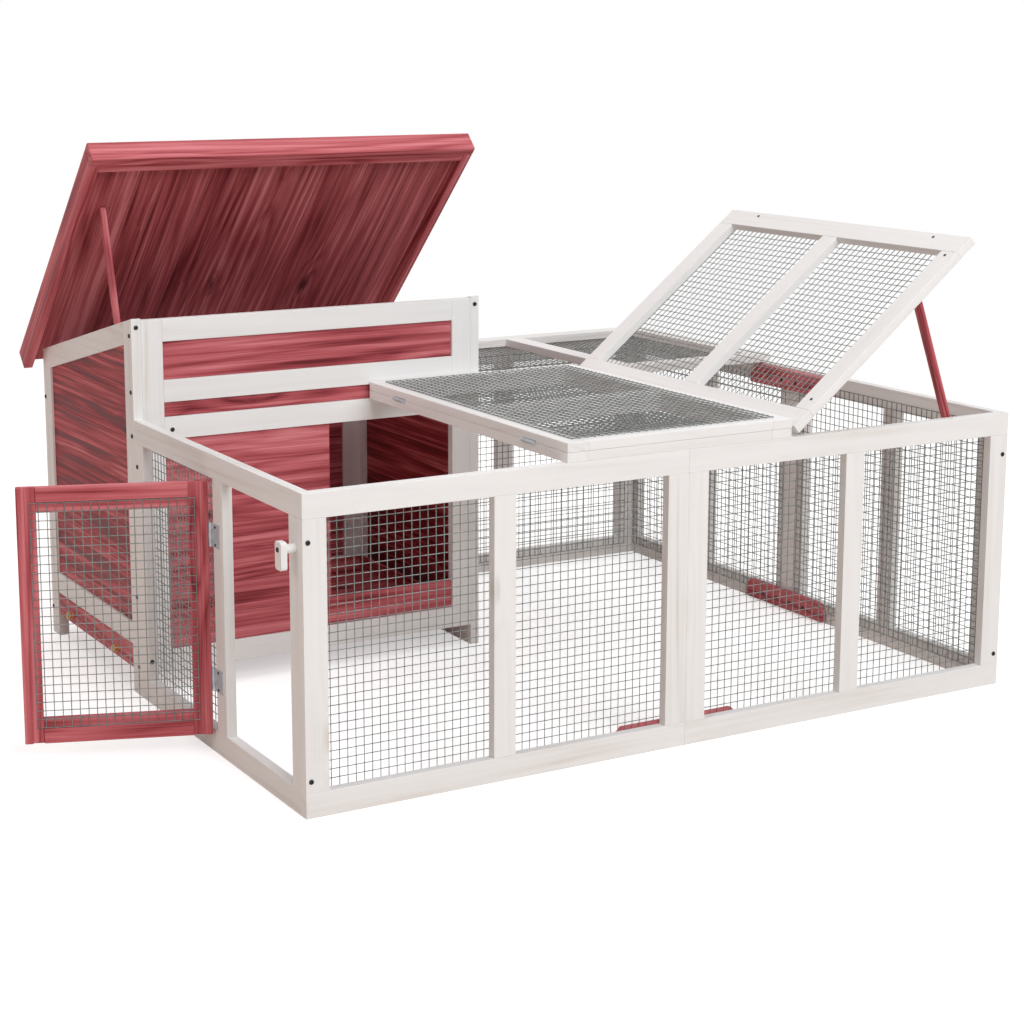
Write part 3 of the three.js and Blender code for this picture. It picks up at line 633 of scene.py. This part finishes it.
# Lids: two long rails and three cross members, with the net underneath.
# A hinged lid shuts just clear of the frames.
lid = {"depth": 785, "rail": 45, "thick": 18, "clear": 0.4, "netGap": 0.3, "pinReach": 3.6, "pinRise": 0.15,
       "leftWidth": 500, "rightWidth": 543.1, "middle": (520, 1020)}


def lidTimbers(x0, x1, low, thick):
    rail, depth = lid["rail"], lid["depth"]
    timbers = [timber("top", low, thick, rectangle(x, 0, x + rail, depth), "v") for x in (x0, x1 - rail)]
    for y in (0, (depth - rail) / 2, depth - rail):
        timbers.append(timber("top", low, thick, rectangle(x0 + rail, y, x1 - rail, y + rail)))
    return timbers


# The middle lid is placed from the hutch's corner, and the hinged ones from their pins
pinReach, underPin = lid["pinReach"], -lid["thick"] - lid["pinRise"]
for name, x0, x1, low, body, matrix in (
        ("middle_lid", *lid["middle"], runHeight, "hutch", hutchMatrix),
        ("left_lid", -pinReach - lid["leftWidth"], -pinReach, underPin, "left_lid", leftLidMatrix),
        ("right_lid", pinReach, pinReach + lid["rightWidth"], underPin, "right_lid", rightLidMatrix)):
    clear = 0 if body == "hutch" else lid["clear"]
    addTimbers(name + "_battens", lidTimbers(x0, x1, low + clear, lid["thick"] - clear), whiteWood, body,
               replaced=(name + "_frame",), matrix=matrix)
    addNet(name + "_net", "top", low - lid["netGap"], netOutline(x0, x1, 0, lid["depth"]), -1, body, matrix)
print("lids built")


# Prop stays: bars with round ends, each turning on a screw at its upper end
def barOutline(u0, v0, u1, v1, width):
    turn = math.atan2(v1 - v0, u1 - u0)
    outline = []
    for u, v, first in ((u1, v1, -0.5), (u0, v0, 0.5)):
        for i in range(9):
            angle = turn + math.pi * (first + i / 8)
            outline.append((u + width / 2 * math.cos(angle), v + width / 2 * math.sin(angle)))
    return outline


def addStay(name, look, matrix):
    plane, start, size = look["plane"], look["start"], look["size"]
    angle = math.radians(look["lean"])
    u0, v0 = look["pivot"]
    u1, v1 = u0 + look["length"] * math.cos(angle), v0 + look["length"] * math.sin(angle)
    shape = timber(plane, start, size, barOutline(u0, v0, u1, v1, size), look["lean"], 1.5)
    addTimbers(name + "_bar", [shape], trimWood, name, (name,), matrix)
    pivot = onPlane(plane, u0, v0, start if plane == "front" else start + size)
    addHeads(name + "_screw", [(pivot, look["way"])], name, matrix, 3.6, 1.8)


lidStay = {"plane": "front", "start": 23, "size": 14, "pivot": (387.7, -27.75), "length": 279.6,
           "lean": -108.84, "way": (0, -1, 0)}
roofStay = {"plane": "side", "start": 20.3, "size": 12, "pivot": (-478.8, -2.7), "length": 264.9,
            "lean": -62.43, "way": (1, 0, 0)}
addStay("right_lid_stay", lidStay, rightLidMatrix)
addStay("roof_stay", roofStay, roofMatrix)
print("stays built")

# Mesh door: its net lies in a rebate along the inner edges
door = {"near": -346.8, "far": -3.6, "foot": 37, "top": 519, "stile": 35, "rail": 48, "outer": -15.8,
        "inner": -0.8, "rebate": 20, "rebateDepth": 4, "edge": 1.4, "netInset": 23, "netLap": 19}


def rebated(edge, opening):
    # A timber's section, from its outside edge to the door's opening.
    outer, inner = door["outer"], door["inner"]
    step, floor = opening + math.copysign(door["rebate"], edge - opening), inner - door["rebateDepth"]
    return [(outer, edge), (inner, edge), (inner, step), (floor, step), (floor, opening), (outer, opening)]


near, far, foot, top = door["near"], door["far"], door["foot"], door["top"]
innerNear, innerFar = near + door["stile"], far - door["stile"]
innerFoot, innerTop = foot + door["rail"], top - door["rail"]
doorTimbers = [timber("top", foot, top - foot, rebated(edge, opening), "t", door["edge"])
               for edge, opening in ((near, innerNear), (far, innerFar))]
doorTimbers += [timber("front", innerNear, innerFar - innerNear, rebated(edge, opening), "t", door["edge"])
                for edge, opening in ((foot, innerFoot), (top, innerTop))]
addTimbers("door_battens", doorTimbers, trimWood, "door", ("door_frame",), doorMatrix)
netInset, netLap = door["netInset"], door["netLap"]
addNet("door_net", "side", door["inner"] - door["rebateDepth"],
       (near + netInset, innerFoot - netLap, far - netInset, innerTop + netLap), 1, "door", doorMatrix)

# Turn button: a small white bar on a boss, with one screw
button = {"width": 26, "corner": 6, "foot": 436.5, "top": 486, "outer": -31.6, "thick": 12, "y": 30, "z": 472,
          "boss": 8, "bossEnd": -19.7, "bossLength": 19.6, "bossSides": 24}


def roundedOutline(u0, v0, u1, v1, radius, steps=4):
    outline = []
    for u, v, first in ((u1 - radius, v0 + radius, -90), (u1 - radius, v1 - radius, 0),
                        (u0 + radius, v1 - radius, 90), (u0 + radius, v0 + radius, 180)):
        for i in range(steps + 1):
            angle = math.radians(first + 90 * i / steps)
            outline.append((u + radius * math.cos(angle), v + radius * math.sin(angle)))
    return outline


def roundOutline(u, v, radius, sides):
    turns = [2 * math.pi * i / sides for i in range(sides)]
    return [(u + radius * math.cos(turn), v + radius * math.sin(turn)) for turn in turns]


buttonY, buttonZ, half = button["y"], button["z"], button["width"] / 2
boss = roundOutline(buttonY, buttonZ, button["boss"], button["bossSides"])
bar = roundedOutline(buttonY - half, button["foot"], buttonY + half, button["top"], button["corner"])
addTimbers("turn_button_bar", [timber("side", button["outer"], button["thick"], bar, "v", 1.8),
                               timber("side", button["bossEnd"], button["bossLength"], boss, "u", 0.4)],
           whiteWood, "turn_button", ("turn_button",))
addHeads("turn_button_screw", [((button["outer"], buttonY, buttonZ), (-1, 0, 0))], "turn_button", radius=4.6,
         height=2.4)
print("door and turn button built")

# House: white frames around red boards
house = {"left": 0, "right": 785, "front": 788, "back": 1348, "frontTop": 772, "backTop": 642, "stile": 45,
         "thick": 20, "boardThick": 10, "boardInset": 5, "boardWidth": 88, "wallBoardWidth": 62, "gap": 0.3,
         "faceBoardWidth": 90, "sideRail": 100, "sill": 45, "headRail": 525, "topRail": 600, "doorLeft": 430,
         "doorSill": 150, "seam": 0.2}
slope = math.atan2(house["frontTop"] - house["backTop"], house["back"] - house["front"])
stile, thick, gap, sill = house["stile"], house["thick"], house["gap"], house["sill"]
slopeDrop = stile / math.cos(slope)


def slopeAt(y):
    return house["backTop"] + (house["back"] - y) * math.tan(slope)


def sideFrame(name, start, railLow):
    near, far, railHigh = house["front"], house["back"], railLow + stile
    inner, outer = near + stile, far - stile
    highInner, highOuter = slopeAt(inner), slopeAt(outer)
    lowInner, lowOuter = highInner - slopeDrop, highOuter - slopeDrop
    timbers = [timber("side", start, thick, outline, run) for outline, run in (
        ([(near, 0), (inner, 0), (inner, highInner), (near, slopeAt(near))], "v"),
        ([(outer, 0), (far, 0), (far, slopeAt(far)), (outer, highOuter)], "v"),
        ([(inner, lowInner), (outer, lowOuter), (outer, highOuter), (inner, highInner)], "u"),
        (rectangle(inner, railLow, outer, railHigh), "u"))]
    addTimbers(name + "_frame_battens", timbers, whiteWood, replaced=(name + "_frame",))
    opening = [(inner, railHigh), (outer, railHigh), (outer, lowOuter), (inner, lowInner)]
    boards = boardsUp("side", start + house["boardInset"], house["boardThick"], opening, house["boardWidth"])
    addTimbers(name + "_planks", boards, sideWood, replaced=(name + "_boards",))


sideFrame("house_left", house["left"], house["sideRail"])
sideFrame("house_right", house["right"] - thick, 0)

postPlaces = (house["left"] + thick, house["right"] - thick - stile)
between, beyond = postPlaces[0] + stile, postPlaces[1]
boardsFrom, boardsTo = between + gap, beyond - gap


def wallFrame(start, top, rails):
    timbers = [timber("front", start, thick, rectangle(x, sill, x + stile, top), "v") for x in postPlaces]
    return timbers + [timber("front", start, thick, rectangle(between, z, beyond, z + stile)) for z in rails]


def wallBoards(start, right, low, high, width):
    outline = rectangle(boardsFrom, low, right, high)
    return boardsUp("front", start + house["boardInset"], house["boardThick"], outline, width)


frontTop = slopeAt(house["front"] + thick)
frontRails = (sill, house["headRail"], house["topRail"], frontTop - stile)
addTimbers("house_front_battens", wallFrame(house["front"], frontTop, frontRails), whiteWood,
           replaced=("house_front_frame",))
for name, low, high in (("house_front_top_board", house["topRail"] + stile, frontTop - stile),
                        ("house_front_mid_board", house["headRail"] + stile, house["topRail"])):
    boards = wallBoards(house["front"], boardsTo, low + gap, high - gap, house["faceBoardWidth"])
    addTimbers(name + "_plank", boards, redWood, replaced=(name,))
wall = wallBoards(house["front"], house["doorLeft"], house["doorSill"], house["headRail"] - gap,
                  house["wallBoardWidth"])
wall += wallBoards(house["front"], boardsTo, sill + stile + gap, house["doorSill"] - house["seam"],
                   house["wallBoardWidth"])
addTimbers("house_front_wall_planks", wall, redWood, replaced=("house_front_wall",))

backStart, backRails = house["back"] - thick, (sill, house["backTop"] - stile)
addTimbers("house_back_battens", wallFrame(backStart, house["backTop"], backRails), whiteWood,
           replaced=("house_back_frame",))
backBoards = wallBoards(backStart, boardsTo, sill + stile + gap, house["backTop"] - stile - gap,
                        house["boardWidth"])
addTimbers("house_back_planks", backBoards, redWood, replaced=("house_back_boards",))
print("house built")

# Slide-out tray on two runners
tray = {"near": 835, "far": 1301, "frontStart": 2, "frontThick": 12, "frontLow": 48, "frontHigh": 98,
        "panLow": 60.3, "panHigh": 96.3, "panEnd": 750, "panInset": 2, "wall": 8, "floor": 6, "boards": 4,
        "boardGap": 0.2, "knobs": (("front", 925), ("rear", 1211)), "knobHeight": 68}
runner = {"low": 48, "thick": 12, "left": 20, "right": 765, "width": 52,
          "places": (("tray_runner_front", 808), ("tray_runner_rear", 1276))}
for name, y in runner["places"]:
    outline = rectangle(runner["left"], y, runner["right"], y + runner["width"])
    rail = timber("top", runner["low"], runner["thick"], outline)
    addTimbers(name + "_rail", [rail], redWood, replaced=(name,))
trayFront = timber("side", tray["frontStart"], tray["frontThick"],
                   rectangle(tray["near"], tray["frontLow"], tray["far"], tray["frontHigh"]), edge=2.2)
addTimbers("tray_front_board", [trayFront], trimWood, "tray", ("tray_front",))

panStart, panEnd, panWall = tray["frontStart"] + tray["frontThick"], tray["panEnd"], tray["wall"]
panNear, panFar = tray["near"] + tray["panInset"], tray["far"] - tray["panInset"]
wallLow, wallHigh = tray["panLow"] + tray["floor"], tray["panHigh"]
boardStep = (panFar - panNear) / tray["boards"]
pan = []
for i in range(tray["boards"]):
    y = panNear + boardStep * i
    outline = rectangle(panStart, y, panEnd, y + boardStep - tray["boardGap"])
    pan.append(timber("top", tray["panLow"], tray["floor"], outline))
for y in (panNear, panFar - panWall):
    pan.append(timber("front", y, panWall, rectangle(panStart, wallLow, panEnd, wallHigh)))
for x in (panStart, panEnd - panWall):
    pan.append(timber("side", x, panWall, rectangle(panNear + panWall, wallLow, panFar - panWall, wallHigh)))
addTimbers("tray_pan_boards", pan, redWood, "tray", ("tray_pan",))


def knobMesh(name, spot, matrix, sides=28):
    # Turned wooden knob: rings of a radius, each so far out of the tray front
    profile = [(5.2, 0.3), (5.0, 1.6), (4.6, 3.2), (5.2, 5.0), (7.0, 6.8), (8.2, 8.6), (8.5, 10.4),
               (8.1, 12.4), (6.6, 14.4), (4.2, 15.6), (1.6, 16.0)]
    sunk = 0.3
    points, faces, grain = [], [], []
    for radius, out in profile:
        for k in range(sides):
            angle = 2 * math.pi * k / sides
            across, up = radius * math.cos(angle), radius * math.sin(angle)
            local = Vector((spot[0] - out + sunk, spot[1] + across, spot[2] + up))
            points.append(matrix @ local)
            grain += [local.x / 1000 + 3, local.y / 250, local.z / 250]
    for ring in range(len(profile) - 1):
        for k in range(sides):
            m = (k + 1) % sides
            low, high = ring * sides, (ring + 1) * sides
            faces.append((low + k, high + k, high + m, low + m))
    faces.append(tuple(range(sides)))
    faces.append(tuple(reversed(range((len(profile) - 1) * sides, len(profile) * sides))))
    return smoothMesh(name, points, faces, 50, (("grain", "FLOAT_VECTOR", "POINT", "vector", grain),))


for place, y in tray["knobs"]:
    name = "tray_knob_" + place
    mesh = knobMesh(name + "_turned", (tray["frontStart"], y, tray["knobHeight"]), hutchMatrix)
    finishPiece(name + "_turned", mesh, knobWood, "tray", (name,), weighted=False)
print("tray built")

# Roof: narrow boards from back to front, an apron on three sides and a ledger under the front edge
roof = {"left": -18.3, "right": 803.3, "front": -632.7, "back": 39, "under": 3.6, "thick": 24, "boards": 16,
        "groove": 0.15, "edge": 2.4}
apron = {"left": -38.6, "right": 823.6, "front": -653, "low": -17.4, "thick": 20, "edge": 2,
         "ledgerLow": -16.7, "ledgerHigh": 3.3, "ledgerEdge": 1.5}
roofStep, groove = (roof["right"] - roof["left"]) / roof["boards"], roof["groove"]
roofTimbers = []
for i in range(roof["boards"]):
    x = roof["left"] + i * roofStep
    outline = rectangle(x + groove, roof["front"], x + roofStep - groove, roof["back"])
    roofTimbers.append(timber("top", roof["under"], roof["thick"], outline, "v", roof["edge"]))
addTimbers("roof_planks", roofTimbers, roofShadedWood, "roof", ("roof_boards",), roofMatrix)

boardThick, left, right = apron["thick"], apron["left"], apron["right"]
low, high, innerFront = apron["low"], roof["under"] + roof["thick"], apron["front"] + boardThick
ledger = rectangle(left + boardThick, apron["ledgerLow"], right - boardThick, apron["ledgerHigh"])
apronTimbers = [timber(plane, start, boardThick, outline, edge=edge) for plane, start, outline, edge in (
    ("front", apron["front"], rectangle(left, low, right, high), apron["edge"]),
    ("side", left, rectangle(innerFront, low, roof["back"], high), apron["edge"]),
    ("side", right - boardThick, rectangle(innerFront, low, roof["back"], high), apron["edge"]),
    ("front", innerFront, ledger, apron["ledgerEdge"]))]
addTimbers("roof_apron_boards", apronTimbers, trimWood, "roof", ("roof_apron",), roofMatrix)
print("roof built")

# Screw and bolt heads
heads = {
    "left": ((799, 737), (799, 624), (799, 536), (775, 478), (1339, 537), (799, 206), (799, 60), (1339, 60),
             (1339, 300)),
    "house": ((80.8, 788, 544), (380.5, 793, 284), (775, 788, 754), (10, 788, 754), (7, 743, 84)),
    "front": ((10, 485), (10, 66), (1558, 485), (1558, 66)),
    "right": ((697, 548), (697, 22), (651, 548), (651, 22), (1338, 300), (1338, 60), (10, 300), (10, 60),
              (10, 510)),
    "back": ((10, 300), (10, 560), (775, 300), (775, 560), (795, 300), (795, 540), (1560, 300), (1560, 60),
             (1560, 540), (10, 80), (775, 80), (795, 60)),
    "rightLid": ((535, 676), (535, 100), (490, 25), (75, 22)),
    "doorHinge": {"x": -1.8, "y": 376, "heights": (144, 420), "steps": (-16.5, 16.5)},
}
leftWay, rightWay, frontWay, backWay = (-1, 0, 0), (1, 0, 0), (0, -1, 0), (0, 1, 0)
frameHeads = [((0, y, z), leftWay) for y, z in heads["left"]]
frameHeads += [(spot, frontWay) for spot in heads["house"]]
frameHeads += [((x, 0, z), frontWay) for x, z in heads["front"]]
frameHeads += [((runPanel["width"], y, z), rightWay) for y, z in heads["right"]]
frameHeads += [((x, runPanel["depth"], z), backWay) for x, z in heads["back"]]
addHeads("frame_bolts", frameHeads, radius=4.6, height=2.2)

lidHeads = [((x, y, -lid["pinRise"]), (0, 0, 1)) for x, y in heads["rightLid"]]
addHeads("right_lid_screws", lidHeads, "right_lid", rightLidMatrix, 3.2, 1.2)
hinge = heads["doorHinge"]
hingeHeads = [((hinge["x"], hinge["y"], z + step), leftWay)
              for z in hinge["heights"] for step in hinge["steps"]]
addHeads("door_hinge_screws", hingeHeads, radius=2.6, height=1.0)
for node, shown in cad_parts.items():
    if "hinge_" in node:
        shown.data.materials.clear()
        shown.data.materials.append(hingeSteel)
print("screws and hinges done")

# Studio: floor, world, lights and the photograph's camera
studio = {"floorReach": 40.0, "whiteFrom": 1.9, "whiteTo": 4.5, "floorColour": fromPicture(236, 236, 236),
          "dustColour": fromPicture(244, 244, 243), "bounceColour": fromPicture(221, 206, 195), "lift": 0.5,
          "worldStrength": 0.28, "worldTint": (1.0, 0.965, 0.945, 1.0)}


def glowNode(tree, kind, colour=(1, 1, 1, 1), strength=1.0):
    node = tree.nodes.new(kind)
    node.inputs["Color"].default_value = colour
    node.inputs["Strength"].default_value = strength
    return node


def mixShaders(tree, factor, first, second, output):
    mixed = tree.nodes.new("ShaderNodeMixShader")
    for index, value in enumerate((factor, first.outputs[0], second.outputs[0])):
        tree.links.new(value, mixed.inputs[index])
    tree.links.new(mixed.outputs[0], output.inputs[0])


def seenDirectly(tree, paths):
    both = mathNode(tree, "ADD", paths["Is Camera Ray"], paths["Is Glossy Ray"])
    return mathNode(tree, "ADD", both, paths["Is Transmission Ray"], clamp=True)


def makeFloorMaterial():
    material, tree, principled = newMaterial("studioFloor")
    principled.inputs["Roughness"].default_value = 0.9
    principled.inputs["Specular IOR Level"].default_value = 0.1
    place = tree.nodes.new("ShaderNodeNewGeometry").outputs["Position"]
    flat = vectorNode(tree, "MULTIPLY", place, (1.0, 1.0, 0.0))
    away = vectorNode(tree, "LENGTH", flat)
    far = rampNode(tree, away, studio["whiteFrom"], studio["whiteTo"])
    dust = noiseNode(tree, place, 3.0, 3.0)
    paths = tree.nodes.new("ShaderNodeLightPath").outputs
    seen = seenDirectly(tree, paths)
    dusty = rampNode(tree, dust, 0.3, 0.7, 0.0, 0.2)
    pale = mixColour(tree, dusty, studio["floorColour"], studio["dustColour"])
    tree.links.new(mixColour(tree, seen, studio["bounceColour"], pale), principled.inputs["Base Color"])
    lift = glowNode(tree, "ShaderNodeEmission")
    tree.links.new(mathNode(tree, "MULTIPLY", seen, studio["lift"]), lift.inputs["Strength"])
    added = tree.nodes.new("ShaderNodeAddShader")
    tree.links.new(principled.outputs[0], added.inputs[0])
    tree.links.new(lift.outputs[0], added.inputs[1])
    output = next(node for node in tree.nodes if node.type == "OUTPUT_MATERIAL")
    white = glowNode(tree, "ShaderNodeEmission")
    mixShaders(tree, mathNode(tree, "MULTIPLY", seen, far), added, white, output)
    return material


def addFloor():
    reach = studio["floorReach"]
    mesh = bpy.data.meshes.new("floor")
    corners = [(-reach, -reach, 0), (reach, -reach, 0), (reach, reach, 0), (-reach, reach, 0)]
    mesh.from_pydata(corners, [], [(0, 1, 2, 3)])
    mesh.materials.append(makeFloorMaterial())
    floor = bpy.data.objects.new("floor", mesh)
    scene.collection.objects.link(floor)


def addWorld(strength, tint):
    world = bpy.data.worlds.new("studioWorld")
    scene.world = world
    world.use_nodes = True
    tree = world.node_tree
    tree.nodes.clear()
    paths = tree.nodes.new("ShaderNodeLightPath").outputs
    seen = seenDirectly(tree, paths)
    soft = glowNode(tree, "ShaderNodeBackground", tint, strength)
    white = glowNode(tree, "ShaderNodeBackground")
    mixShaders(tree, seen, soft, white, tree.nodes.new("ShaderNodeOutputWorld"))


def addLamp(name, look):
    data = bpy.data.lights.new(name, "AREA")
    data.shape = "RECTANGLE"
    data.size, data.size_y = look["size"]
    data.energy = look["power"]
    data.color = look["colour"]
    lamp = bpy.data.objects.new(name, data)
    scene.collection.objects.link(lamp)
    lamp.location = look["place"]
    lamp.rotation_euler = (Vector(look["aim"]) - lamp.location).to_track_quat("-Z", "Y").to_euler()


addFloor()
addWorld(studio["worldStrength"], studio["worldTint"])
lamps = {
    "keyLamp": {"place": (0.6, -7.0, 4.4), "aim": (0, 0, 0.4), "size": (5.0, 3.4), "power": 344,
                "colour": (0.925, 0.975, 1.0)},
    "leftLamp": {"place": (-5.5, -0.6, 3.2), "aim": (0, 0, 0.3), "size": (3.5, 3.0), "power": 56,
                 "colour": (1.0, 0.85, 0.79)},
    "topLamp": {"place": (0.3, -0.6, 4.8), "aim": (0.1, 0, 0), "size": (4.0, 4.0), "power": 70,
                "colour": (0.96, 0.985, 1.0)},
    "rearLamp": {"place": (1.5, 5.5, 4.2), "aim": (0, 0, 0.4), "size": (4.0, 3.0), "power": 118,
                 "colour": (1.0, 0.92, 0.89)},
}
for name, look in lamps.items():
    addLamp(name, look)

view = {"place": (-2.051, -3.8182, 1.3135), "pitch": 90 - 10.5329, "turn": -29.5927, "lens": 74.068,
        "shift": (0.0314, -0.08), "sensor": 36}
cameraData = bpy.data.cameras.new("photoCamera")
cameraData.sensor_width = view["sensor"]
cameraData.lens = view["lens"]
cameraData.shift_x, cameraData.shift_y = view["shift"]
cameraData.clip_end = 200
camera = bpy.data.objects.new("photoCamera", cameraData)
scene.collection.objects.link(camera)
camera.location = view["place"]
camera.rotation_euler = (math.radians(view["pitch"]), 0, math.radians(view["turn"]))
scene.camera = camera
scene.view_settings.view_transform = "Standard"
print("studio set")
